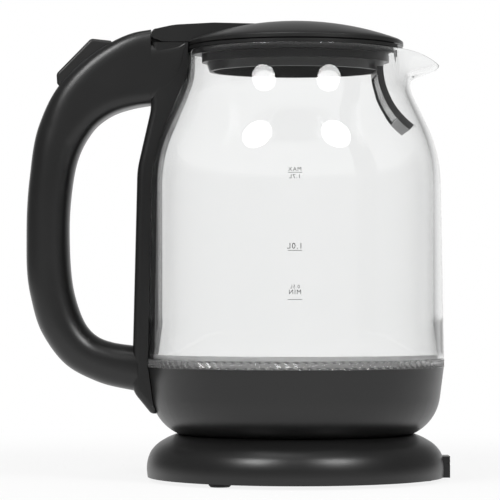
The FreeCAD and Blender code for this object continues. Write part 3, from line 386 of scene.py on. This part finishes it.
def rounded_profile(corners, count):
    """Points spread evenly along a line of corners, each rounded by an arc that leaves and joins its
    straight runs at radius / tan(half the corner's angle)."""
    pieces = [corners[:1, :2]]
    for before, here, after in zip(corners, corners[1:], corners[2:]):
        back, ahead = before[:2] - here[:2], after[:2] - here[:2]
        back, ahead = back / np.linalg.norm(back), ahead / np.linalg.norm(ahead)
        half = np.arccos(np.clip(back @ ahead, -1, 1)) / 2
        centre = here[:2] + (back + ahead) / np.linalg.norm(back + ahead) * here[2] / np.sin(half)
        reach = here[2] / np.tan(half)
        start, end = here[:2] + back * reach - centre, here[:2] + ahead * reach - centre
        turn = np.linspace(0, 1, ARC_POINTS)[:, None]
        sweep = np.pi - 2 * half
        arc = (np.sin((1 - turn) * sweep) * start + np.sin(turn * sweep) * end) / np.sin(sweep)
        pieces.append(centre + arc)
    line = np.concatenate(pieces + [corners[-1:, :2]])
    length = np.concatenate([[0.0], np.cumsum(np.linalg.norm(np.diff(line, axis=0), axis=1))])
    even = np.linspace(0, length[-1], count)
    return np.stack([np.interp(even, length, line[:, 0]), np.interp(even, length, line[:, 1])], axis=1)


barrel = rounded_profile(jug_corners, PROFILE_POINTS)
print("profile from", barrel[0], "to", barrel[-1])

# %% Outside with the spout
SPOUT_HALF_ANGLE = np.radians(27.0)
SPOUT_FOOT_Z = 204.0
SPOUT_RISE_POWER = 1.8
JUG_COLUMNS = 224
# Radius and height along the middle of the spout, up to its tip
spout_knots = [
    (61.0, 208.6), (61.1, 210.7), (63.0, 212.3), (67.2, 213.9), (72.0, 215.9), (75.3, 217.7), (76.3, 219.0)]

jug_turn = np.linspace(0, 2 * np.pi, JUG_COLUMNS, endpoint=False)
spout_row = int(np.argmax(barrel[:, 1] > SPOUT_FOOT_Z))
pull = barrel.copy()
pull[spout_row:] = smooth_line(
    np.concatenate([barrel[spout_row:spout_row + 1], spout_knots]),
    np.linspace(0, 1, len(barrel) - spout_row))
off_axis = np.abs((jug_turn + np.pi) % (2 * np.pi) - np.pi)
crest = np.cos(np.pi / 2 * off_axis / SPOUT_HALF_ANGLE) ** 2
share = np.where(off_axis < SPOUT_HALF_ANGLE, crest, 0.0)[:, None]
outer = spun(
    barrel[:, 0] + share * (pull - barrel)[:, 0],
    barrel[:, 1] + share ** SPOUT_RISE_POWER * (pull - barrel)[:, 1],
    jug_turn)
print("spout from row", spout_row, "of", len(barrel))

# %% Wall and lip
GLASS_WALL, LIP_WALL = 3.0, 2.2
BARREL_EXTRA, EXTRA_HEIGHTS = 2.0, [66.0, 86.0, 206.0]
FOOT_ROWS = 3
LIP_POINTS = 9
EDGE_SUPPORT = np.array([0.0, 0.0, 0.4])


def outward(points):
    """Unit normals of a grid that closes in its first direction: the cross product of its two slopes."""
    along_u = np.roll(points, -1, axis=0) - np.roll(points, 1, axis=0)
    along_v = np.gradient(points, axis=1)
    normal = np.cross(along_u, along_v)
    return normal / np.linalg.norm(normal, axis=-1, keepdims=True)


rows = np.arange(len(barrel))
lip_share = np.clip((rows - spout_row) / (len(barrel) - 1 - spout_row), 0, 1) ** 2
wall = GLASS_WALL + (LIP_WALL - GLASS_WALL) * lip_share
wall = wall + BARREL_EXTRA * np.interp(barrel[:, 1], EXTRA_HEIGHTS, [0.0, 1.0, 0.0])
normal = outward(outer)
flat = normal * np.array([1.0, 1.0, 0.0])
flat /= np.linalg.norm(flat, axis=-1, keepdims=True)
foot_share = np.clip(rows / FOOT_ROWS, 0, 1)[None, :, None]
inner = outer - wall[:, None] * (flat * (1 - foot_share) + normal * foot_share)
rim_way = outer[:, -1] - outer[:, -2]
rim_way /= np.linalg.norm(rim_way, axis=-1, keepdims=True)
bend = np.linspace(0, np.pi, LIP_POINTS)[1:-1]
across = (1 - np.cos(bend))[None, :, None] / 2
lip = outer[:, -1:] * (1 - across) + inner[:, -1:] * across
lip = lip + LIP_RISE * np.sqrt(np.sin(bend))[None, :, None] * rim_way[:, None]
foot_out, foot_in = outer[:, :1], inner[:, :1]
jug = np.concatenate(
    [foot_out, foot_out + EDGE_SUPPORT, outer[:, 1:], lip, inner[:, :0:-1], foot_in + EDGE_SUPPORT, foot_in],
    axis=1)
glass_body = grid_piece("glass_body", jug * MM, "jug", "clear_glass", around_u=True, around_v=True)
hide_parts("glass_jug")

# %% [markdown]
# ## The handle's skin
# The handle is two black mouldings that meet in a close seam.
# The solids show that seam as a hard line, so one skin is drawn for both:
# a rounded section carried along two rails, the outer and the inner edge of the handle.

# %% Rounded sections along two rails
SECTION_POINTS = 72
HANDLE_STEPS = 160
HANDLE_HALF_WIDTH = 14.2
# How square the section is (2 is an ellipse) at shares of the handle's length
SQUARE_PLACES, SQUARE_POWERS = [0.0, 0.1, 0.3, 0.85, 1.0], [7.0, 5.0, 2.4, 2.3, 2.6]
# Outer x and z, inner x and z of each section, from the hinge round to the lower arm
handle_rails = np.array([
    [-76.4, 238.2, -76.4, 198.9], [-85.5, 236.6, -84.5, 197.5], [-98.0, 231.4, -95.0, 194.3],
    [-112.0, 222.1, -104.1, 188.5], [-126.0, 208.0, -110.4, 180.5], [-136.2, 187.4, -115.2, 169.9],
    [-141.0, 159.9, -118.4, 153.9], [-142.6, 128.9, -119.8, 129.9], [-140.3, 97.0, -117.0, 98.0],
    [-133.8, 77.0, -111.5, 83.0], [-121.0, 60.6, -105.0, 76.0], [-104.7, 52.0, -97.5, 73.0],
    [-83.2, 46.8, -83.2, 70.8],
])


def rounded_sections(outer_rail, inner_rail, half_width, squareness):
    """Sections [step, around, xyz] where |depth|^p + |side|^p = 1; depth runs from inner to outer edge."""
    around = np.linspace(0, 2 * np.pi, SECTION_POINTS, endpoint=False)
    power = 2 / np.asarray(squareness)[:, None]
    depth = np.sign(np.cos(around)) * np.abs(np.cos(around)) ** power
    side_share = -np.sign(np.sin(around)) * np.abs(np.sin(around)) ** power
    middle, half = (outer_rail + inner_rail) / 2, (outer_rail - inner_rail) / 2
    in_plane = middle[:, None] + half[:, None] * depth[..., None]
    return np.stack([in_plane[..., 0], half_width * side_share, in_plane[..., 1]], axis=-1)


along_handle = np.linspace(0, 1, HANDLE_STEPS)
rails = smooth_line(handle_rails, along_handle)
handle_squareness = np.interp(along_handle, SQUARE_PLACES, SQUARE_POWERS)
grip = rounded_sections(rails[:, :2], rails[:, 2:], HANDLE_HALF_WIDTH, handle_squareness)
print("sections of the grip:", len(grip))

# %% Root of the upper arm
ROOT_STEPS = 40
ROOT_TOP = 230.7
ROOT_SQUARENESS = 9.0
# Foot of the root at five places, from the neck back to the handle; its top is level under the lid's tongue
root_knots = [[-58.3, 228.5], [-59.6, 221.4], [-62.3, 211.9], [-68.6, 203.9], [-76.3, 199.0]]
root_foot = smooth_line(root_knots, np.linspace(0, 1, ROOT_STEPS))
root_top = np.stack([root_foot[:, 0], np.full(ROOT_STEPS, ROOT_TOP)], axis=1)
root_squareness = np.linspace(ROOT_SQUARENESS, handle_squareness[0], ROOT_STEPS)
root = rounded_sections(root_top, root_foot, HANDLE_HALF_WIDTH, root_squareness)
skin = np.concatenate([root, grip])
handle_skin = grid_piece("handle_skin", skin * MM, "jug", "black_plastic", around_v=True, capped=True)
shade_softly(handle_skin)
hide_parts("handle_shell", "handle_cover")

# %% [markdown]
# ## The power base
# The base is a round cushion of black plastic with a dished top that the jug stands in.
# Straight runs and arcs make it look turned from a bar, so its skin is one soft line spun round the axis.

# %% Base skin
BASE_POINTS, BASE_COLUMNS = 72, 192
# Radius and height along the outside, from the foot over the rim into the dish, and back along the inside
base_outside = smooth_line([
    [78.3, 2.0], [78.7, 6.5], [78.2, 11.0], [76.6, 15.2], [73.6, 18.8], [69.0, 21.9], [65.2, 23.7],
    [62.6, 24.5], [60.9, 24.2], [59.6, 23.1], [58.2, 22.4], [55.0, 22.3]], np.linspace(0, 1, BASE_POINTS))
base_inside = np.array([
    [22.3, 22.3], [22.3, 19.8], [55.5, 19.8], [61.5, 21.4], [66.0, 20.4], [70.5, 17.2], [74.2, 13.0],
    [75.8, 9.0], [76.2, 5.0], [76.2, 2.0]])
base_line = np.concatenate([base_outside, base_inside])
base = spun(base_line[:, 0], base_line[:, 1], np.linspace(0, 2 * np.pi, BASE_COLUMNS, endpoint=False))
base_skin = grid_piece("base_skin", base * MM, "power_base", "black_plastic", around_u=True, around_v=True)
shade_softly(base_skin)
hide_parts("base_cover")

# %% [markdown]
# ## The clear ring
# Between the bowl and the glass sits a clear ring that spreads the light of small LEDs.
# Its face is cut into slanting prisms. A bump would show no sparkle at the edge,
# so the prisms are real: the radius dips and rises round the ring, and the dip leans with height.

# %% Prism ring
RING_OUTER, RING_INNER, RING_LOW, RING_HIGH = 78.7, 71.3, 60.0, 64.3
PRISMS, PRISM_DEPTH, PRISM_LEAN, STEPS_PER_PRISM = 104, 0.9, 0.9, 6
FACE_ROWS, BACK_ROWS = 9, 5
PRISM_FADE = 4

ring_turn = np.linspace(0, 2 * np.pi, PRISMS * STEPS_PER_PRISM, endpoint=False)
climb = np.linspace(0, 1, FACE_ROWS)
phase = (PRISMS * ring_turn[:, None] / (2 * np.pi) + PRISM_LEAN * climb) % 1.0
dip = (1 - np.abs(2 * phase - 1)) * np.minimum(1, PRISM_FADE * np.minimum(climb, 1 - climb))
back_radius = np.full((len(ring_turn), BACK_ROWS), RING_INNER)
ring_radius = np.concatenate([RING_OUTER - PRISM_DEPTH * dip, back_radius], axis=1)
face_height = RING_LOW + (RING_HIGH - RING_LOW) * climb
ring_height = np.concatenate([face_height, np.linspace(RING_HIGH, RING_LOW, BACK_ROWS)])
ring = spun(ring_radius, ring_height, ring_turn)
prism_ring = grid_piece(
    "prism_ring", ring * MM, "jug", "clear_plastic", around_u=True, around_v=True, smooth=False)
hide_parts("light_ring")

# %% [markdown]
# ## The strainer gauze
# A fine steel gauze in a plastic frame keeps scale out of the cup.
# A see-through pattern would do from far away, but close up a gauze is wires that pass over and under,
# so two sets of wires are carried along the curved panel, each riding on a sine wave.

# %% The curved panel
GAUZE_HALF_WIDTH, GAUZE_LOW_Z, GAUZE_HIGH_Z = 20.9, 188.6, 213.6
# x and z at the top, middle and foot of the panel
panel_top, panel_mid, panel_foot = np.array([[43.2, 216.9], [48.2, 198.1], [59.6, 184.9]])


def circle_through(a, b, c):
    """Centre and radius of the circle through three points, from two equal-distance equations."""
    chords = np.array([b - a, c - a])
    centre = np.linalg.solve(2 * chords, [b @ b - a @ a, c @ c - a @ a])
    return centre, np.linalg.norm(a - centre)


centre, bow = circle_through(panel_top, panel_mid, panel_foot)
low_turn, high_turn = (np.arcsin((z - centre[1]) / bow) for z in (GAUZE_LOW_Z, GAUZE_HIGH_Z))
side = np.sign(panel_mid[0] - centre[0])


def on_panel(angle, y, lift):
    """Point of the panel: its circle in the XZ plane at that angle, lifted along the radius."""
    reach = bow + lift
    return np.stack(np.broadcast_arrays(
        centre[0] + side * reach * np.cos(angle), y, centre[1] + reach * np.sin(angle)), axis=-1)


print("panel radius in mm:", round(float(bow), 1))

# %% Woven wires
WIRE, PITCH = 0.42, 1.1
WARP_STEPS, WEFT_STEPS = 80, 160


def wire_bundle(paths, sides, section):
    """Square wires: each path [wire, step, xyz] gets a ring of four corners, and both ends are capped."""
    spread = np.array([[-1, -1], [1, -1], [1, 1], [-1, 1]]) * section / 2
    first_side, second_side = sides
    offsets = spread[:, 0, None] * first_side[..., None, :] + spread[:, 1, None] * second_side[..., None, :]
    points = paths[:, :, None] + offsets
    wires, steps = paths.shape[:2]
    w, s, k = np.meshgrid(np.arange(wires), np.arange(steps - 1), np.arange(4), indexing="ij")
    ring_start = (w * steps + s) * 4
    k_next = (k + 1) % 4
    corners = [ring_start + k, ring_start + k_next, ring_start + 4 + k_next, ring_start + 4 + k]
    wire_start = (np.arange(wires) * steps * 4)[:, None]
    caps = np.concatenate([wire_start + [3, 2, 1, 0], wire_start + (steps - 1) * 4 + [0, 1, 2, 3]])
    return points.reshape(-1, 3), np.concatenate([np.stack(corners, axis=-1).reshape(-1, 4), caps])


warp_y = np.arange(-GAUZE_HALF_WIDTH, GAUZE_HALF_WIDTH, PITCH)[:, None]
weft_turn = np.linspace(low_turn, high_turn, int(bow * abs(high_turn - low_turn) / PITCH))[:, None]
along = np.linspace(low_turn, high_turn, WARP_STEPS)[None, :]
sweep_y = np.linspace(-GAUZE_HALF_WIDTH, GAUZE_HALF_WIDTH, WEFT_STEPS)[None, :]
over = np.where(np.arange(len(warp_y)) % 2, 1, -1)[:, None]
under = np.where(np.arange(len(weft_turn)) % 2, 1, -1)[:, None]
warp = on_panel(along, warp_y, over * WIRE / 2 * np.cos(np.pi * (along - low_turn) * bow / PITCH))
weft = on_panel(weft_turn, sweep_y, -under * WIRE / 2 * np.cos(np.pi * (sweep_y - warp_y[0]) / PITCH))
flat_y = np.array([0.0, 1.0, 0.0])
warp_out = on_panel(along, warp_y, 1.0) - on_panel(along, warp_y, 0.0)
weft_out = on_panel(weft_turn, sweep_y, 1.0) - on_panel(weft_turn, sweep_y, 0.0)
weft_up = np.cross(weft_out, flat_y)
warp_points, warp_faces = wire_bundle(warp, (np.broadcast_to(flat_y, warp.shape), warp_out), WIRE)
weft_points, weft_faces = wire_bundle(weft, (weft_up, weft_out), WIRE)
gauze = mesh_piece(
    "strainer_gauze",
    np.concatenate([warp_points, weft_points]) * MM,
    np.concatenate([warp_faces, weft_faces + len(warp_points)]),
    "jug", "stainless")
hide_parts("strainer_mesh")

# %% [markdown]
# ## Level marks
# The scale is printed on the far side of the glass in dark enamel: plain numbers and short lines.
# The marks could be painted with a texture, but letters from Blender's own font are sharper as thin shapes.
# Each is made flat and then wrapped round the barrel.

# %% Enamel on the barrel
MARK_TURN = np.pi / 2 - 0.014
ENAMEL = 0.03
ink = clouded(
    "mark_enamel", grain=0.0005, low=(0.02,) * 3, high=(0.06,) * 3, rough=0.45, spread=0.1, IOR=1.5)


def jug_radius(z):
    """Outer radius of the barrel at a height."""
    return np.interp(z, barrel[:, 1], barrel[:, 0])


def wrap_on_jug(flat_points, z):
    """Bends a flat drawing (right, up, out) round the barrel: right becomes an angle and out adds to
    the radius."""
    up = z + flat_points[:, 1]
    reach = jug_radius(up) + ENAMEL + flat_points[:, 2]
    angle = MARK_TURN + flat_points[:, 0] / jug_radius(up)
    return np.stack([reach * np.cos(angle), reach * np.sin(angle), up], axis=1)


def finish_mark(name, mesh):
    """Gives a mark's mesh the enamel and lets it ride on the jug."""
    mesh.materials.clear()
    mesh.materials.append(ink)
    mark = add_object(name, mesh)
    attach(mark, "jug")


print("enamel is", ENAMEL, "mm thick")

# %% Words and lines
LETTER_SPACING = 1.2
CAPITAL_SHARE = 0.7
LINE_WIDTH, LINE_THICK, LINE_STEPS = 8.4, 0.28, 9


def printed_word(name, words, size, z):
    """Letters of a given height whose foot is at z, centred on the scale."""
    curve = bpy.data.curves.new(name, "FONT")
    curve.body, curve.size, curve.extrude = words, size / CAPITAL_SHARE, ENAMEL / 2
    curve.align_x, curve.space_character = "CENTER", LETTER_SPACING
    written = add_object(name + "_curve", curve)
    mesh = bpy.data.meshes.new_from_object(written.evaluated_get(bpy.context.evaluated_depsgraph_get()))
    bpy.data.objects.remove(written)
    flat_points = np.empty(len(mesh.vertices) * 3)
    mesh.vertices.foreach_get("co", flat_points)
    points = wrap_on_jug(flat_points.reshape(-1, 3), z) * MM
    mesh.vertices.foreach_set("co", points.ravel())
    mesh.update()
    finish_mark(name, mesh)


def printed_line(name, z):
    """A short bar: a flat four-cornered section carried across the scale and capped at both ends."""
    right = np.linspace(-LINE_WIDTH / 2, LINE_WIDTH / 2, LINE_STEPS)
    section = np.array([[-1, -1], [1, -1], [1, 1], [-1, 1]]) * [LINE_THICK / 2, ENAMEL / 2]
    flat_points = np.stack(np.broadcast_arrays(
        right[:, None], section[None, :, 0], section[None, :, 1]), axis=-1).reshape(-1, 3)
    i, k = np.meshgrid(np.arange(len(right) - 1), np.arange(4), indexing="ij")
    k_next = (k + 1) % 4
    quads = np.stack([i * 4 + k, i * 4 + k_next, i * 4 + 4 + k_next, i * 4 + 4 + k], axis=-1).reshape(-1, 4)
    last = (len(right) - 1) * 4
    caps = np.array([[3, 2, 1, 0], [last, last + 1, last + 2, last + 3]])
    mesh = bpy.data.meshes.new(name)
    mesh.from_pydata(wrap_on_jug(flat_points, z) * MM, [], np.concatenate([quads, caps]))
    finish_mark(name, mesh)


printed_word("mark_max", "MAX", 2.3, 166.6)
printed_line("line_max", 165.8)
printed_word("mark_1.7", "1.7L", 2.4, 162.4)
printed_word("mark_1.0", "1.0L", 3.2, 122.9)
printed_line("line_1.0", 121.9)
printed_word("mark_0.5", "0.5L", 2.0, 100.7)
printed_word("mark_min", "MIN", 2.6, 97.4)
printed_line("line_min", 94.4)
print("printed marks: three levels")

# %% [markdown]
# ## Floor, lamps and camera
# The kettle stands on a white table in front of a white wall.
# Two round lamps light it from the front, and a weaker one from above.
# A real room could be modelled, but a pale floor that fades into a white world gives the same light.
# Behind the camera the room is dimmer, so that gloss on the near side doesn't wash out the black.
# The camera stands low and far away, as for a catalogue picture.

# %% White world
LOOKING_RAYS = ("Is Camera Ray", "Is Glossy Ray", "Is Transmission Ray")
WHITE = (1.0, 1.0, 1.0, 1.0)
SOFT_LEVEL = 0.28
FRONT_LEVEL = 0.22
DIM_TILT = 0.35
DIM_PLACES = (0.65, 0.97)


def at_most_one(network, value):
    """The smaller of the value and 1."""
    return network.node("ShaderNodeMath", {"operation": "MINIMUM"}, {0: value, 1: 1.0})


def light_path(network, output):
    """One output of a Light Path node, which tells how a ray came here."""
    return network.node("ShaderNodeLightPath", output=output)


def looked_at(network):
    """1 for a ray from the camera, off a mirror or through glass, and 0 for any other."""
    return at_most_one(network, sum(light_path(network, ray) for ray in LOOKING_RAYS))


def smooth_step(network, value, places, levels):
    """Goes from the first level to the second in a soft S as the value goes from place to place."""
    return network.node("ShaderNodeMapRange", {"interpolation_type": "SMOOTHSTEP"}, {
        "Value": value, "From Min": places[0], "From Max": places[1],
        "To Min": levels[0], "To Max": levels[1]})


world = bpy.data.worlds.new("white_room")
world.use_nodes = True
bpy.context.scene.world = world
room = Network(world.node_tree)
way = room.node("ShaderNodeTexCoord", output="Generated")
depth, rise = (room.node("ShaderNodeSeparateXYZ", inputs={0: way}, output=axis) for axis in ("Y", "Z"))
mirrored = smooth_step(room, depth - DIM_TILT * rise, DIM_PLACES, (FRONT_LEVEL, 1.0))
scatters, mirrors = (
    at_most_one(room, light_path(room, count)) for count in ("Diffuse Depth", "Glossy Depth"))
seen = looked_at(room) * (1 - scatters)
level = SOFT_LEVEL + seen * (1 - SOFT_LEVEL + mirrors * (mirrored - 1))
room.feed(world.node_tree.nodes["Background"].inputs["Color"], WHITE)
room.feed(world.node_tree.nodes["Background"].inputs["Strength"], level)
print("world set, soft level", SOFT_LEVEL)

# %% Floor
FLOOR_RADIUS, FLOOR_SIDES = 0.9, 64
TABLE_GREY = (0.86, 0.86, 0.86, 1.0)
FADE_PLACES, FADE_LEVELS = (0.16, 0.55), (0.86, 1.0)
spokes = np.linspace(0, 2 * np.pi, FLOOR_SIDES, endpoint=False)
rim = FLOOR_RADIUS * np.stack([np.cos(spokes), np.sin(spokes), 0 * spokes], axis=1)
floor_mesh = bpy.data.meshes.new("floor")
floor_mesh.from_pydata(rim, [], [list(range(len(rim)))])
floor = add_object("floor", floor_mesh)

table = Finish("white_table", Base_Color=TABLE_GREY, Roughness=0.9)
distance = table.node("ShaderNodeVectorMath", {"operation": "LENGTH"}, {0: table.place()}, "Value")
fade = smooth_step(table, distance, FADE_PLACES, FADE_LEVELS)
glow = table.node("ShaderNodeEmission", inputs={"Color": WHITE, "Strength": 1.0})
painted = Wire(table, table.shader.outputs[0])
mixed = table.node("ShaderNodeMixShader", inputs={0: looked_at(table) * fade, 1: painted, 2: glow})
table.feed(table.tree.nodes["Material Output"].inputs["Surface"], mixed)
floor_mesh.materials.append(table.material)
print("floor radius", FLOOR_RADIUS)

# %% Lamps
AIM = np.array([0.0, 0.0, 0.13])


def point_at(thing, location, target):
    """Puts a lamp or camera at a place so that its -Z axis looks at the target."""
    back = np.asarray(location) - np.asarray(target)
    back = back / np.linalg.norm(back)
    right = np.cross([0.0, 0.0, 1.0], back)
    right = right / np.linalg.norm(right)
    up = np.cross(back, right)
    thing.matrix_world = Matrix.LocRotScale(location, Matrix(np.stack([right, up, back], axis=1)), None)


def round_lamp(name, azimuth, elevation, distance, radius, radiance):
    """Disc lamp that looks at the jug; its power is radiance times pi times its area."""
    lamp = bpy.data.lights.new(name, "AREA")
    lamp.shape = "DISK"
    lamp.size = 2 * radius
    lamp.energy = radiance * np.pi * np.pi * radius ** 2
    turn, climb_angle = np.radians(azimuth), np.radians(elevation)
    towards = np.array([
        np.sin(turn) * np.cos(climb_angle), -np.cos(turn) * np.cos(climb_angle), np.sin(climb_angle)])
    point_at(add_object(name, lamp), AIM + distance * towards, AIM)


for lamp_name, lamp_turn in (("left_lamp", -36.0), ("right_lamp", 36.0)):
    round_lamp(lamp_name, lamp_turn, elevation=37.5, distance=1.3, radius=0.235, radiance=16.0)
round_lamp("top_lamp", -40.0, elevation=78.0, distance=1.2, radius=0.30, radiance=2.0)
print("lamps:", [light.name for light in bpy.data.lights])

# %% Camera
CAMERA_PLACE, CAMERA_TARGET = (-0.0241, -1.40, 0.0942), (-0.0241, 0.0, 0.1218)
camera = bpy.data.cameras.new("catalogue_camera")
camera.sensor_width = 36.0
camera.lens = 190.0
camera_object = add_object("catalogue_camera", camera)
point_at(camera_object, CAMERA_PLACE, CAMERA_TARGET)
bpy.context.scene.camera = camera_object
bpy.context.scene.view_settings.view_transform = "Standard"
print("camera at", [round(x, 3) for x in camera_object.location])
